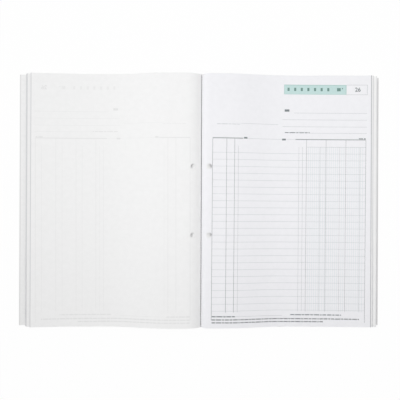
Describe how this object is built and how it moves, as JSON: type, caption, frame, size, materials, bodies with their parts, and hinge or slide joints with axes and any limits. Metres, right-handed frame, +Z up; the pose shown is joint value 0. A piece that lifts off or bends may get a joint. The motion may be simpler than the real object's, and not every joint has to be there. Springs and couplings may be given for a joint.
{
  "type": "invoice book",
  "caption": "A4 duplicate invoice book lying open at its middle, with a wire-stitched and taped spine, card covers, arched stacks of numbered sets and an open set whose leaves turn.",
  "frame": {"origin": "on the table, at the middle of the open book's outline, under the spine", "axes": "+X across the spread towards the page with the form, +Y up the page towards its head, +Z up from the table"},
  "size_m": [0.4278, 0.297, 0.0125],
  "materials": {
    "paper": "uncoated white paper",
    "carbonless_paper": "uncoated white carbonless paper",
    "cover_card": "smooth white card",
    "spine_cloth": "woven binding tape",
    "glue": "padding glue",
    "wire": "flat stitching wire"
  },
  "bodies": {
    "back": {"back_cover": "cover_card", "back_tape_wing": "spine_cloth", "sets_27_30": "paper", "sets_31_35": "paper", "sets_36_40": "paper", "sets_41_45": "paper", "sets_46_50": "paper"},
    "spine": {"spine_tape": "spine_cloth", "spine_glue": "glue", "margins_01_25": "paper", "margins_26_50": "paper", "stitch_foot": "wire", "stitch_middle": "wire", "stitch_head": "wire"},
    "front": {"front_cover": "cover_card", "front_tape_wing": "spine_cloth", "sets_01_05": "paper", "sets_06_10": "paper", "sets_11_15": "paper", "sets_16_20": "paper", "sets_21_25": "paper"},
    "original": {"original_26": "paper"},
    "duplicate": {"duplicate_26": "carbonless_paper"}
  },
  "joints": [
    {"name": "front_fold", "type": "hinge", "parent": "back", "child": "front", "pos_m": [0.0015, 0, 0.01295], "axis": [0, -1, 0], "range_deg": [-180, 0]},
    {"name": "spine_fold", "type": "hinge", "parent": "back", "child": "spine", "pos_m": [0.0015, 0, 0.01295], "axis": [0, -1, 0], "range_deg": [-90, 0]},
    {"name": "original_turn", "type": "hinge", "parent": "back", "child": "original", "pos_m": [0.0015, 0, 0.01295], "axis": [0, -1, 0], "range_deg": [0, 180], "deforming": ["original_26"]},
    {"name": "duplicate_turn", "type": "hinge", "parent": "back", "child": "duplicate", "pos_m": [0.0015, 0, 0.01295], "axis": [0, -1, 0], "range_deg": [0, 180], "deforming": ["duplicate_26"]}
  ],
  "couplings": [
    {"joint": "spine_fold", "follows": "front_fold", "ratio": 0.5}
  ]
}
